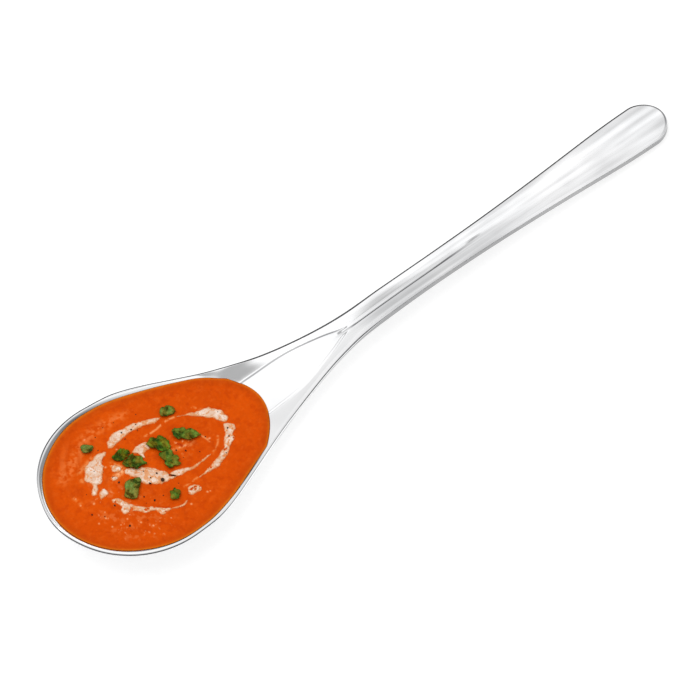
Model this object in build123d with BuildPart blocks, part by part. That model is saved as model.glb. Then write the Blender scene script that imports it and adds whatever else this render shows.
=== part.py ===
from build123d import *
import math
import os

# Soup spoon lying on a table, filled with soup.
# Frame: millimetres, +Z up, table at Z = 0, +X from the bowl towards the handle end,
# origin at the centre of the flat spot under the bowl.

# ---- driving dimensions -------------------------------------------------
LENGTH = 190.0            # overall length, tip of bowl to end of handle
BOWL_LOW = 33.0           # distance from the bowl tip to the lowest point of the bowl
RIM_H = 10.74             # height of the rim above the table, 28 mm from the bowl tip
RIM_SLOPE = -0.1327       # rim plane falls towards the handle while the spoon lies down
LAND = 1.05               # width of the flat land on top of the rim
SHELL_T = 1.45            # wall of the bowl
HANDLE_T = 2.55           # thickness of the handle
BOWL_R = 0.0219           # curvature term of the bowl
BOWL_A = 0.30             # extra steepness of the bowl walls
BOWL_W = 22.3             # largest half width
EDGE_R = 0.34             # softened edges of rim and handle
SOUP_DROP = 0.55          # soup surface below the rim plane, 25 mm from the tip
SOUP_TILT = 0.0073        # soup surface against the rim plane
SOUP_GAP = 0.25           # clearance between soup and steel
CREAM_T = 0.30            # cream pools
LEAF_LIFT = 0.42          # underside of the leaves above the soup surface
LEAF_T = 0.24             # leaf blades

# half width of the plan outline against distance from the bowl tip
OUTLINE = [
    (0.0, 0.0), (1.0, 5.55), (2.0, 8.1), (4.0, 11.75), (6.0, 14.3), (8.0, 16.2),
    (10.0, 17.75), (13.0, 19.5), (16.0, 20.75), (20.0, 21.8), (24.0, 22.25),
    (28.0, 22.15), (32.0, 21.65), (36.0, 20.7), (40.0, 19.4), (44.0, 17.85),
    (48.0, 16.2), (52.0, 14.6), (56.0, 13.0), (60.0, 11.5), (64.0, 10.1),
    (68.0, 8.8), (72.0, 7.62), (76.0, 6.58), (80.0, 5.66), (84.0, 4.9),
    (88.0, 4.34), (92.0, 3.95), (96.0, 3.74), (102.0, 3.58), (110.0, 3.5),
    (118.0, 3.5), (126.0, 3.58), (134.0, 3.72), (142.0, 3.95), (150.0, 4.25),
    (158.0, 4.65), (166.0, 5.1), (174.0, 5.55), (180.0, 5.84), (183.6, 5.95),
]

# height of the upper edge over the rim datum, against distance from the bowl tip
EDGE = [
    (46.0, -2.389), (50.0, -2.919), (52.0, -3.185), (54.0, -3.44), (57.0, -3.78),
    (62.0, -4.18), (68.0, -4.33), (74.0, -4.1),
    (80.0, -3.62), (86.0, -3.15), (93.0, -2.86), (101.0, -2.78), (110.0, -2.98),
    (122.0, -3.6), (140.0, -4.78), (160.0, -6.14), (178.0, -7.4), (196.0, -8.66),
]

# half width squared of the inner edge of the rim
INNER2 = [
    (-6.0, -250.0), (-3.0, -146.0), (1.05, 0.0), (3.0, 66.0), (5.0, 129.0), (8.0, 214.0),
    (11.0, 284.0), (15.0, 360.0), (19.0, 415.0), (23.0, 443.0), (27.0, 446.0),
    (31.0, 431.0), (35.0, 397.0), (39.0, 352.0), (43.0, 304.0), (47.0, 255.0),
    (51.0, 207.0), (55.0, 164.0), (59.0, 127.0), (63.0, 96.0), (67.0, 71.0),
    (71.0, 52.0), (75.0, 38.0), (80.0, 24.5), (85.0, 16.5), (90.0, 12.2),
    (95.0, 10.2), (102.0, 9.0), (112.0, 8.6), (122.0, 8.9), (134.0, 10.0),
    (146.0, 12.2), (158.0, 16.0), (170.0, 21.0), (180.0, 25.5), (196.0, 30.0),
]

# depth of the middle of the upper face below its edges, throat and handle
FLOOR = [
    (44.0, 6.3), (48.0, 4.95), (52.0, 3.45), (56.0, 2.12), (60.0, 1.2), (63.5, 0.8),
    (67.0, 0.62), (72.0, 0.48), (78.0, 0.36), (84.0, 0.36), (90.0, 0.42), (97.0, 0.46),
    (108.0, 0.46), (122.0, 0.4), (136.0, 0.28), (150.0, 0.22), (170.0, 0.2), (196.0, 0.2),
]


def smooth(t):
    t = max(0.0, min(1.0, t))
    return t * t * (3.0 - 2.0 * t)


def table(rows):
    """Natural cubic through the rows of a driving table."""
    xs = [r[0] for r in rows]
    ys = [r[1] for r in rows]
    n = len(xs)
    h = [xs[i + 1] - xs[i] for i in range(n - 1)]
    a = [0.0] * n
    b = [1.0] * n
    c = [0.0] * n
    d = [0.0] * n
    for i in range(1, n - 1):
        a[i] = h[i - 1]
        b[i] = 2.0 * (h[i - 1] + h[i])
        c[i] = h[i]
        d[i] = 6.0 * ((ys[i + 1] - ys[i]) / h[i] - (ys[i] - ys[i - 1]) / h[i - 1])
    for i in range(1, n):
        w = a[i] / b[i - 1]
        b[i] -= w * c[i - 1]
        d[i] -= w * d[i - 1]
    m = [0.0] * n
    for i in range(n - 2, 0, -1):
        m[i] = (d[i] - c[i] * m[i + 1]) / b[i]

    def value(x):
        x = max(xs[0], min(xs[-1], x))
        i = 0
        while i < n - 2 and x > xs[i + 1]:
            i += 1
        p = xs[i + 1] - x
        q = x - xs[i]
        return (m[i] * p ** 3 + m[i + 1] * q ** 3) / (6.0 * h[i]) + (
            ys[i] / h[i] - m[i] * h[i] / 6.0) * p + (ys[i + 1] / h[i] - m[i + 1] * h[i] / 6.0) * q

    return value


edge_tab = table(EDGE)
inner2 = table(INNER2)
floor_tab = table(FLOOR)
half_tab = table(OUTLINE[3:])


def edge(s):
    if s <= 52.0:
        return RIM_H + RIM_SLOPE * (s - 28.0)
    return RIM_H + edge_tab(s)


def half(s):
    return half_tab(max(4.0, min(183.6, s)))


def slope(f, s):
    return (f(s + 0.02) - f(s - 0.02)) / 0.04


def depth(s):
    """Middle depth of the upper face."""
    if s <= 44.0:
        return BOWL_R * inner2(s)
    if s >= 50.0:
        return floor_tab(s)
    f = smooth((s - 44.0) / 6.0)
    return (1.0 - f) * BOWL_R * inner2(s) + f * floor_tab(s)


# half width of the flat throat floor, which closes to a crease in the handle
FLAT = table([(50.0, 0.0), (54.0, 1.2), (58.0, 3.0), (62.0, 4.4), (66.0, 4.9), (70.0, 4.9),
              (74.0, 4.6), (78.0, 3.9), (82.0, 3.0), (86.0, 1.9), (90.0, 0.7), (94.0, 0.0),
              (120.0, 0.0), (196.0, 0.0)])


def upper(s, y):
    """Height of the hollow face: bowl, throat, handle groove."""
    d = depth(s)
    ay = abs(y)
    bowl = d - (d / inner2(s) if s > 2.0 else BOWL_R) * y * y
    bowl *= 1.0 + BOWL_A * y * y / BOWL_W ** 2
    if s <= 50.0:
        return edge(s) - bowl
    wi = math.sqrt(inner2(s))
    c = max(0.0, FLAT(s))
    span = wi - c
    t = (ay - c) / span
    soft = 0.22
    ramp = 0.5 * (t + math.sqrt(t * t + soft * soft))       # flat floor turning into a wall
    base = 0.5 * (-c / span + math.sqrt((c / span) ** 2 + soft * soft))
    top = 0.5 * (1.0 + math.sqrt(1.0 + soft * soft))
    flat = d * (1.0 - (ramp - base) / (top - base))
    # handle: gentle V that fades to a shallow dish towards the end
    vee = d * (1.0 - ay / wi)
    dish = d * (1.0 - (y / wi) ** 2)
    e = smooth((s - 118.0) / 34.0)
    grip = (1.0 - e) * vee + e * dish - 0.5 * smooth((s - 176.0) / 14.0)
    f1 = smooth((s - 50.0) / 12.0)
    f2 = smooth((s - 84.0) / 10.0)
    low = (1.0 - f1) * bowl + f1 * flat
    return edge(s) - ((1.0 - f2) * low + f2 * grip)


def lower(s, y):
    """Height of the back of the spoon."""
    h = 0.05
    zx = (upper(s + h, y) - upper(s - h, y)) / (2 * h)
    zy = (upper(s, y + h) - upper(s, y - h)) / (2 * h)
    shell = upper(s, y) - SHELL_T * math.sqrt(1.0 + zx * zx + zy * zy)
    if s < 52.0:
        return shell
    crown = 0.55 * min(4.0, (y / half(s)) ** 2)
    bar = edge(s) - HANDLE_T - 0.35 * (1.0 - smooth((s - 90.0) / 50.0)) + crown
    f = smooth((s - 52.0) / 34.0)
    return (1.0 - f) * shell + f * bar


def band(s):
    """Half width of the lofted sheet before it is trimmed to the outline."""
    if s <= 22.0:
        return 24.2
    return half(s) + 1.9


def station(s):
    return Plane(origin=(s - BOWL_LOW, 0, 0), x_dir=(0, 1, 0), z_dir=(1, 0, 0))


STATIONS = [-5.0, -2.0, 1.5, 5.0, 9.0, 13.0, 17.0, 21.0, 25.0, 29.0, 33.0, 37.0, 41.0, 45.0,
            49.0, 53.0, 57.0, 61.0, 65.0, 69.0, 73.0, 77.0, 81.0, 85.0, 89.0, 93.0, 98.0,
            104.0, 112.0, 121.0, 131.0, 142.0, 153.0, 163.0, 171.0, 177.0, 181.0, 185.0, 189.0,
            194.0]
RATIOS = [1.0, 0.9, 0.8, 0.69, 0.58, 0.47, 0.36, 0.25, 0.14, 0.06, 0.0]

os.makedirs("parts", exist_ok=True)

# ---- spoon body ---------------------------------------------------------
with BuildPart() as spoon_body:
    for s in STATIONS:
        b = band(s)
        with BuildSketch(station(s)):
            with BuildLine():
                Spline(*[(-b * r, upper(s, -b * r)) for r in RATIOS])
                Spline(*[(b * r, upper(s, b * r)) for r in reversed(RATIOS)])
                Line((b, upper(s, b)), (b, lower(s, b)))
                Spline(*[(b * (1.0 - i / 9.0), lower(s, b * (1.0 - i / 9.0))) for i in range(19)])
                Line((-b, lower(s, -b)), (-b, upper(s, -b)))
            make_face()
    loft()
    # side view: rim and handle edges above, table below
    with BuildSketch(Plane.XZ):
        with BuildLine():
            x0, x1, x2, x3 = (q - BOWL_LOW for q in (-6.0, 52.0, 104.0, 196.0))
            Line((x0, edge(-6.0)), (x1, edge(52.0)))
            Spline(*[(q - BOWL_LOW, edge(q)) for q in range(52, 105, 4)],
                   tangents=[(1, slope(edge, 52.0)), (1, slope(edge, 104.0))])
            Spline(*[(q - BOWL_LOW, edge(q)) for q in (104, 112, 122, 136, 152, 170, 196)],
                   tangents=[(1, slope(edge, 104.0)), (1, slope(edge, 196.0))])
            Line((x3, edge(196.0)), (x3, 0.0))
            Line((x3, 0.0), (x0, 0.0))
            Line((x0, 0.0), (x0, edge(-6.0)))
        make_face()
    extrude(amount=40.0, both=True, mode=Mode.INTERSECT, clean=False)
    # plan outline, each side cut in five runs
    for m in (1.0, -1.0):
        for lo, hi in ((0, 10), (10, 19), (19, 30), (30, 40), (40, 41)):
            with BuildSketch(Plane.XY.offset(-6.0)):
                with BuildLine():
                    if lo == 40:
                        a = (OUTLINE[40][0] - BOWL_LOW, m * OUTLINE[40][1])
                        b = (LENGTH - BOWL_LOW, 0.0)
                        Spline(a, (187.9 - BOWL_LOW, m * 3.9), b, tangents=[(1, 0.02 * m), (0, -m)])
                        Line(b, (b[0] + 20.0, 0.0))
                        Line((b[0] + 20.0, 0.0), (b[0] + 20.0, 40.0 * m))
                        Line((b[0] + 20.0, 40.0 * m), (a[0], 40.0 * m))
                    else:
                        run = OUTLINE[lo:hi + 1]
                        a = (run[0][0] - BOWL_LOW, m * run[0][1])
                        b = (run[-1][0] - BOWL_LOW, m * run[-1][1])
                        ta = (0, m) if lo == 0 else (1, m * slope(half, run[0][0]))
                        tb = (1, m * slope(half, run[-1][0])) if hi < 40 else (1, 0.02 * m)
                        Spline(*[(q[0] - BOWL_LOW, m * q[1]) for q in run], tangents=[ta, tb])
                        Line(b, (b[0], 40.0 * m))
                        if lo == 0:
                            Line((b[0], 40.0 * m), (a[0] - 20.0, 40.0 * m))
                            Line((a[0] - 20.0, 40.0 * m), (a[0] - 20.0, 0.0))
                            Line((a[0] - 20.0, 0.0), a)
                        else:
                            Line((b[0], 40.0 * m), (a[0], 40.0 * m))
                    if lo > 0:
                        Line((a[0], 40.0 * m), a)
                make_face()
            extrude(amount=40.0, mode=Mode.SUBTRACT, clean=False)
    # softened rim, handle and back edges
    rim_edges = []
    back_edges = []
    for q in spoon_body.edges():
        mid = q @ 0.5
        s = mid.X + BOWL_LOW
        ends = [q @ 0.0, q @ 1.0]
        if abs(ends[0].X - ends[1].X) < 1e-6 and abs(ends[0].Y - ends[1].Y) < 1e-6:
            continue
        on_side = abs(abs(mid.Y) - half(s)) < 0.06 or s < 4.0 or s > 183.6
        if not on_side or abs(mid.Y) < 0.9:
            continue
        if abs(mid.Z - edge(s)) < 0.03 and abs(mid.Y) > half(s) - 0.3 or (
                abs(mid.Z - edge(s)) < 0.03 and s > 183.6):
            rim_edges.append(q)
        elif mid.Z < edge(s) - 0.6 and mid.Z > 0.05:
            back_edges.append(q)
    fillet(rim_edges, radius=EDGE_R)
    fillet_back = [q for q in spoon_body.edges()
                   if any((q @ 0.5 - b @ 0.5).length < 0.02 for b in back_edges)]
    fillet(fillet_back, radius=EDGE_R)
spoon_body.part.label = "spoon_body"
export_step(spoon_body.part, "parts/spoon_body.step")

# ---- soup ---------------------------------------------------------------
SOUP_SLOPE = RIM_SLOPE + SOUP_TILT


def soup_level(s):
    return RIM_H + RIM_SLOPE * (s - 28.0) - SOUP_DROP + SOUP_TILT * (s - 25.0)


SOUP_COS = 1.0 / math.sqrt(1.0 + SOUP_SLOPE ** 2)
SURFACE = Plane(origin=(0, 0, soup_level(BOWL_LOW)), x_dir=(SOUP_COS, 0, SOUP_SLOPE * SOUP_COS),
                z_dir=(-SOUP_SLOPE * SOUP_COS, 0, SOUP_COS))


def on_soup(s, y):
    """Point on the soup surface from distance to the bowl tip and side distance."""
    return ((s - BOWL_LOW) / SOUP_COS, y)


with BuildPart() as soup:
    for s in (-4.0, -1.0, 2.0, 5.0, 9.0, 13.0, 17.0, 21.0, 25.0, 29.0, 33.0, 37.0, 41.0, 45.0,
              49.0, 53.0, 57.0, 61.0, 65.0, 69.0):
        b = band(s)
        with BuildSketch(station(s)):
            with BuildLine():
                Spline(*[(b * (i / 10.0 - 1.0), upper(s, b * (i / 10.0 - 1.0)) + SOUP_GAP)
                         for i in range(21)])
                Line((b, upper(s, b) + SOUP_GAP), (b, 60.0))
                Line((b, 60.0), (-b, 60.0))
                Line((-b, 60.0), (-b, upper(s, -b) + SOUP_GAP))
            make_face()
    loft()
    with BuildSketch(Plane.XZ):
        with BuildLine():
            Polyline((-40.0, soup_level(-40.0 + BOWL_LOW)), (36.5, soup_level(36.5 + BOWL_LOW)),
                     (36.5, -6.0), (-40.0, -6.0), close=True)
        make_face()
    extrude(amount=40.0, both=True, mode=Mode.INTERSECT)
soup.part.label = "soup"
export_step(soup.part, "parts/soup.step")

# ---- cream pools on the soup --------------------------------------------
CREAM = {
    "cream_far": [(24.2, 9.9), (26.4, 11.6), (29.4, 12.5), (32.2, 12.0), (35.2, 11.2), (38.6, 10.3),
                  (40.4, 9.3), (37.0, 9.6), (34.0, 9.9), (30.8, 9.9), (27.6, 9.6)],
    "cream_left": [(14.1, 5.0), (15.2, 7.2), (17.4, 8.9), (19.6, 9.2), (20.3, 8.0), (19.3, 6.2),
                   (18.3, 4.6), (17.0, 3.0), (15.3, 1.7), (14.1, 1.4), (14.7, 2.6), (15.4, 3.7)],
    "cream_left_drop": [(13.9, -0.3), (15.0, 0.5), (16.4, 0.8), (17.0, 0.1), (15.8, -0.5)],
    "cream_near_left": [(15.7, -5.6), (16.6, -4.7), (18.3, -5.5), (20.1, -7.5), (22.5, -9.1),
                        (24.6, -11.1), (26.2, -12.3), (24.0, -12.0), (21.4, -10.2), (19.2, -8.4),
                        (17.0, -7.0)],
    "cream_middle": [(23.4, 0.8), (24.7, 2.8), (26.0, 1.8), (27.0, 0.3), (29.4, -0.9), (30.1, -2.9),
                     (31.3, -4.2), (30.1, -5.1), (28.0, -4.4), (25.6, -2.6), (24.0, -0.7)],
    "cream_inner": [(28.6, 4.8), (29.5, 6.3), (31.9, 6.8), (32.5, 5.5), (31.5, 4.1), (29.6, 3.7)],
    "cream_inner_arc": [(32.1, -4.8), (34.0, -4.6), (36.4, -5.7), (39.6, -6.2), (42.2, -6.5),
                        (38.2, -7.0), (35.0, -6.9), (32.8, -5.8)],
    "cream_ring_right": [(46.2, 6.4), (49.2, 6.0), (51.6, 4.5), (53.1, 2.2), (53.4, -0.2), (51.4, -0.6),
                         (50.2, 0.9), (49.7, 2.6), (48.4, 4.4)],
    "cream_ring_near": [(53.1, -2.3), (52.4, -4.2), (50.3, -5.8), (47.4, -7.9), (44.8, -9.4),
                        (41.4, -9.9), (38.6, -9.7), (42.0, -9.0), (45.5, -7.5), (48.6, -5.6),
                        (50.2, -3.6), (51.6, -2.0)],
    "cream_drop": [(32.1, -11.2), (33.5, -10.6), (35.2, -11.0), (35.7, -12.0), (34.0, -12.8),
                   (32.4, -12.3)],
}

for node, ring in CREAM.items():
    with BuildPart() as pool:
        with BuildSketch(SURFACE):
            with BuildLine():
                Spline(*[on_soup(*q) for q in ring], periodic=True)
            make_face()
        extrude(amount=CREAM_T)
    pool.part.label = node
    export_step(pool.part, "parts/" + node + ".step")

# ---- loose herb leaves --------------------------------------------------
# node: distance to bowl tip, side distance, half length, half width, turn, lobes
LEAVES = {
    "leaf_1": (20.4, 13.0, 1.5, 1.2, 100.0, 5),
    "leaf_2": (42.6, 9.6, 2.0, 1.25, -12.0, 5),
    "leaf_3": (25.6, 6.6, 2.3, 1.15, 8.0, 5),
    "leaf_4": (26.9, 2.75, 2.6, 1.75, -62.0, 7),
    "leaf_5": (34.9, 4.0, 2.6, 2.2, -70.0, 7),
    "leaf_6": (34.5, -1.75, 2.35, 2.0, 80.0, 7),
    "leaf_7": (42.2, 2.0, 2.9, 1.45, -48.0, 5),
    "leaf_8": (22.2, -2.6, 2.9, 1.95, 48.0, 5),
    "leaf_9": (29.1, -9.8, 1.7, 1.45, 30.0, 5),
}

for node, (s, y, a, b, turn, lobes) in LEAVES.items():
    u, v = on_soup(s, y)
    c, d = math.cos(math.radians(turn)), math.sin(math.radians(turn))
    ring = []
    for i in range(4 * lobes):
        f = 2.0 * math.pi * i / (4 * lobes)
        r = 1.0 + 0.13 * math.cos(lobes * f)
        p, q = a * r * math.cos(f) / 1.13, b * r * math.sin(f) / 1.13
        ring.append((u + c * p - d * q, v + d * p + c * q))
    with BuildPart() as leaf:
        with BuildSketch(SURFACE.offset(LEAF_LIFT)):
            with BuildLine():
                Spline(*ring, periodic=True)
            make_face()
        extrude(amount=LEAF_T)
    leaf.part.label = node
    export_step(leaf.part, "parts/" + node + ".step")

# ---- ground pepper, loose grains on the soup and on the cream -----------
# distance to bowl tip, side distance, size, height over the soup surface
GRAINS = [
    (20.6, 2.6, 0.5, 0.03), (22.4, 9.9, 0.45, 0.03), (9.2, -5.5, 0.5, 0.03), (14.6, -10.3, 0.45, 0.03),
    (24.2, -8.4, 0.45, 0.03), (25.6, -7.2, 0.4, 0.03), (15.3, -3.0, 0.5, 0.03), (39.1, -1.7, 0.5, 0.03),
    (44.6, -1.4, 0.4, 0.03), (38.2, 7.9, 0.4, 0.03), (12.0, 2.4, 0.4, 0.03), (31.9, -8.2, 0.4, 0.03),
    (41.6, -4.2, 0.4, 0.03), (19.2, -11.4, 0.4, 0.03), (46.8, 1.2, 0.4, 0.03), (24.0, 13.9, 0.4, 0.03),
    (29.9, 11.3, 0.55, 0.33), (27.6, -3.4, 0.5, 0.33), (29.3, -3.9, 0.55, 0.33), (33.6, 10.9, 0.4, 0.33),
    (17.6, 6.9, 0.4, 0.33), (51.8, 2.4, 0.45, 0.33), (46.6, -7.9, 0.4, 0.33), (34.2, -11.8, 0.4, 0.33),
]

with BuildPart() as pepper_flecks:
    for i, (s, y, size, lift) in enumerate(GRAINS):
        with BuildSketch(SURFACE.offset(lift)):
            with Locations(on_soup(s, y)):
                RegularPolygon(radius=size * 0.62, side_count=5, rotation=37.0 * i)
        extrude(amount=size * 0.6, taper=14.0)
pepper_flecks.part.label = "pepper_flecks"
export_step(pepper_flecks.part, "parts/pepper_flecks.step")
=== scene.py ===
import math

import bpy
import bmesh
import numpy as np
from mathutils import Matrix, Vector


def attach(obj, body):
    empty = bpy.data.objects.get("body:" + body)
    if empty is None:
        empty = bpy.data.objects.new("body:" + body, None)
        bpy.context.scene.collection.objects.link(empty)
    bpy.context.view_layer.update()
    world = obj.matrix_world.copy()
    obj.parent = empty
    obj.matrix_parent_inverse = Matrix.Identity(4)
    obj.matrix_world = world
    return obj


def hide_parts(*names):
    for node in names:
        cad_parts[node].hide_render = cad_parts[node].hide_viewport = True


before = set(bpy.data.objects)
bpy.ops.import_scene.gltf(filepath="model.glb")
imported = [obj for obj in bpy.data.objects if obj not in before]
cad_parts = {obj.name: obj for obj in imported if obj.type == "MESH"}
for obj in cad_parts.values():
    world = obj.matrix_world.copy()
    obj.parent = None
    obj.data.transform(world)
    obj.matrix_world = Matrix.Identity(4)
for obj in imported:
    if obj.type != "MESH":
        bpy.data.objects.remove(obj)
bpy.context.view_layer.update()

MM = 0.001
RNG = np.random.default_rng(20)


# ------------------------------------------------------------------ helpers
def lin(r, g, b):
    out = []
    for c in (r, g, b):
        c = c / 255.0
        out.append(c / 12.92 if c <= 0.04045 else ((c + 0.055) / 1.055) ** 2.4)
    return (out[0], out[1], out[2], 1.0)


def smooth(t):
    t = np.clip(t, 0.0, 1.0)
    return t * t * (3.0 - 2.0 * t)


class Tab:
    """Natural cubic through table rows, clamped at both ends."""

    def __init__(self, rows):
        self.x = np.array([r[0] for r in rows], float)
        self.y = np.array([r[1] for r in rows], float)
        n = len(self.x)
        h = np.diff(self.x)
        a = np.zeros((n, n))
        d = np.zeros(n)
        a[0, 0] = a[-1, -1] = 1.0
        for i in range(1, n - 1):
            a[i, i - 1] = h[i - 1]
            a[i, i] = 2.0 * (h[i - 1] + h[i])
            a[i, i + 1] = h[i]
            d[i] = 6.0 * ((self.y[i + 1] - self.y[i]) / h[i] - (self.y[i] - self.y[i - 1]) / h[i - 1])
        self.m = np.linalg.solve(a, d)
        self.h = h

    def __call__(self, x):
        x = np.clip(np.asarray(x, float), self.x[0], self.x[-1])
        i = np.clip(np.searchsorted(self.x, x) - 1, 0, len(self.h) - 1)
        h = self.h[i]
        p = self.x[i + 1] - x
        q = x - self.x[i]
        return (self.m[i] * p ** 3 + self.m[i + 1] * q ** 3) / (6.0 * h) + (
            self.y[i] / h - self.m[i] * h / 6.0) * p + (self.y[i + 1] / h - self.m[i + 1] * h / 6.0) * q


def vnoise(x, y, seed=0):
    """Smooth value noise on a plane, 0..1."""
    xi = np.floor(x).astype(np.int64)
    yi = np.floor(y).astype(np.int64)
    xf = x - xi
    yf = y - yi

    def corner(a, b):
        n = (a * 374761393 + b * 668265263 + seed * 974711) & 0x7FFFFFFF
        n = ((n ^ (n >> 13)) * 1274126177) & 0x7FFFFFFF
        n = n ^ (n >> 16)
        return (n & 0xFFFF) / 65535.0

    u = xf * xf * (3 - 2 * xf)
    v = yf * yf * (3 - 2 * yf)
    return (corner(xi, yi) * (1 - u) + corner(xi + 1, yi) * u) * (1 - v) + (
        corner(xi, yi + 1) * (1 - u) + corner(xi + 1, yi + 1) * u) * v


def fbm(x, y, seed=0, octaves=4):
    out = 0.0
    amp = 0.5
    for o in range(octaves):
        out = out + amp * vnoise(x * 2 ** o + 17.3 * o, y * 2 ** o - 9.1 * o, seed + o)
        amp *= 0.5
    return out / (1.0 - 0.5 ** octaves)


def make_mesh(name, verts, faces, material=None, flat=False):
    me = bpy.data.meshes.new(name)
    me.from_pydata([tuple(v) for v in verts], [], [tuple(f) for f in faces])
    me.validate()
    me.update()
    ob = bpy.data.objects.new(name, me)
    bpy.context.scene.collection.objects.link(ob)
    if not flat:
        for p in me.polygons:
            p.use_smooth = True
    if material is not None:
        me.materials.append(material)
    return ob


def weld(ob, dist):
    bm = bmesh.new()
    bm.from_mesh(ob.data)
    bmesh.ops.remove_doubles(bm, verts=bm.verts, dist=dist)
    bmesh.ops.recalc_face_normals(bm, faces=bm.faces)
    bm.to_mesh(ob.data)
    bm.free()
    for p in ob.data.polygons:
        p.use_smooth = True


class Nodes:
    """Small wrapper for building a node tree."""

    def __init__(self, tree):
        self.t = tree
        tree.nodes.clear()

    def new(self, kind, **kw):
        n = self.t.nodes.new(kind)
        for k, v in kw.items():
            setattr(n, k, v)
        return n

    def put(self, node, socket, value):
        node.inputs[socket].default_value = value

    def link(self, a, sa, b, sb):
        self.t.links.new(a.outputs[sa], b.inputs[sb])

    def ramp(self, stops):
        n = self.new("ShaderNodeValToRGB")
        e = n.color_ramp.elements
        while len(e) < len(stops):
            e.new(0.5)
        for el, (pos, col) in zip(e, stops):
            el.position = pos
            el.color = col if len(col) == 4 else (*col, 1.0)
        return n

    def noise(self, scale, detail=4.0, rough=0.5, dist=0.0, src=None, out="Object"):
        n = self.new("ShaderNodeTexNoise")
        self.put(n, "Scale", scale)
        self.put(n, "Detail", detail)
        self.put(n, "Roughness", rough)
        self.put(n, "Distortion", dist)
        if src is not None:
            self.link(src, out, n, "Vector")
        return n


def material(name):
    m = bpy.data.materials.new(name)
    m.use_nodes = True
    return m, Nodes(m.node_tree)


# ------------------------------------------------------------------ spoon shape (mm)
LENGTH = 190.0
LOW = 33.0
RIM_H = 10.74
RIM_SLOPE = -0.1327
SHELL_T = 1.45
HANDLE_T = 2.55
BOWL_R = 0.0219
BOWL_A = 0.30
BOWL_W = 22.3
SOUP_DROP = 0.55
SOUP_TILT = 0.0073

OUTLINE = [
    (0.0, 0.0), (1.0, 5.55), (2.0, 8.1), (4.0, 11.75), (6.0, 14.3), (8.0, 16.2),
    (10.0, 17.75), (13.0, 19.5), (16.0, 20.75), (20.0, 21.8), (24.0, 22.25),
    (28.0, 22.15), (32.0, 21.65), (36.0, 20.7), (40.0, 19.4), (44.0, 17.85),
    (48.0, 16.2), (52.0, 14.6), (56.0, 13.0), (60.0, 11.5), (64.0, 10.1),
    (68.0, 8.8), (72.0, 7.62), (76.0, 6.58), (80.0, 5.66), (84.0, 4.9),
    (88.0, 4.34), (92.0, 3.95), (96.0, 3.74), (102.0, 3.58), (110.0, 3.5),
    (118.0, 3.5), (126.0, 3.58), (134.0, 3.72), (142.0, 3.95), (150.0, 4.25),
    (158.0, 4.65), (166.0, 5.1), (174.0, 5.55), (180.0, 5.84), (183.6, 5.95),
]
EDGE = [
    (46.0, -2.389), (50.0, -2.919), (52.0, -3.185), (54.0, -3.44), (57.0, -3.78),
    (62.0, -4.18), (68.0, -4.33), (74.0, -4.1),
    (80.0, -3.62), (86.0, -3.15), (93.0, -2.86), (101.0, -2.78), (110.0, -2.98),
    (122.0, -3.6), (140.0, -4.78), (160.0, -6.14), (178.0, -7.4), (196.0, -8.66),
]
INNER2 = [
    (-6.0, -250.0), (-3.0, -146.0), (1.05, 0.0), (3.0, 66.0), (5.0, 129.0), (8.0, 214.0),
    (11.0, 284.0), (15.0, 360.0), (19.0, 415.0), (23.0, 443.0), (27.0, 446.0),
    (31.0, 431.0), (35.0, 397.0), (39.0, 352.0), (43.0, 304.0), (47.0, 255.0),
    (51.0, 207.0), (55.0, 164.0), (59.0, 127.0), (63.0, 96.0), (67.0, 71.0),
    (71.0, 52.0), (75.0, 38.0), (80.0, 24.5), (85.0, 16.5), (90.0, 12.2),
    (95.0, 10.2), (102.0, 9.0), (112.0, 8.6), (122.0, 8.9), (134.0, 10.0),
    (146.0, 12.2), (158.0, 16.0), (170.0, 21.0), (180.0, 25.5), (196.0, 30.0),
]
FLOOR = [
    (44.0, 6.3), (48.0, 4.95), (52.0, 3.45), (56.0, 2.12), (60.0, 1.2), (63.5, 0.8),
    (67.0, 0.62), (72.0, 0.48), (78.0, 0.36), (84.0, 0.36), (90.0, 0.42), (97.0, 0.46),
    (108.0, 0.46), (122.0, 0.4), (136.0, 0.28), (150.0, 0.22), (170.0, 0.2), (196.0, 0.2),
]
FLAT = [
    (50.0, 0.0), (54.0, 1.2), (58.0, 3.0), (62.0, 4.4), (66.0, 4.9), (70.0, 4.9),
    (74.0, 4.6), (78.0, 3.9), (82.0, 3.0), (86.0, 1.9), (90.0, 0.7), (94.0, 0.0),
    (120.0, 0.0), (196.0, 0.0),
]

edge_tab, inner2, floor_tab, flat_tab = Tab(EDGE), Tab(INNER2), Tab(FLOOR), Tab(FLAT)
half_tab = Tab(OUTLINE[3:])
half2_tab = Tab([(s, w * w) for s, w in OUTLINE[:14]])


def edge(s):
    s = np.asarray(s, float)
    return np.where(s <= 52.0, RIM_H + RIM_SLOPE * (s - 28.0), RIM_H + edge_tab(s))


def half(s):
    """Half width of the plan outline, both rounded ends included."""
    s = np.asarray(s, float)
    front = np.sqrt(np.maximum(half2_tab(np.clip(s, 0.0, 36.0)), 0.0))
    mid = half_tab(np.clip(s, 4.0, 183.6))
    u = np.clip((s - 183.6) / (LENGTH - 183.6), 0.0, 1.0)
    cap = 5.95 * np.sqrt(np.maximum(1.0 - u ** 1.75, 0.0))
    f = smooth((s - 10.0) / 12.0)
    return np.where(s < 183.6, (1 - f) * front + f * mid, cap)


def depth(s):
    f = smooth((np.asarray(s, float) - 44.0) / 6.0)
    return (1.0 - f) * BOWL_R * inner2(s) + f * floor_tab(s)


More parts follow.
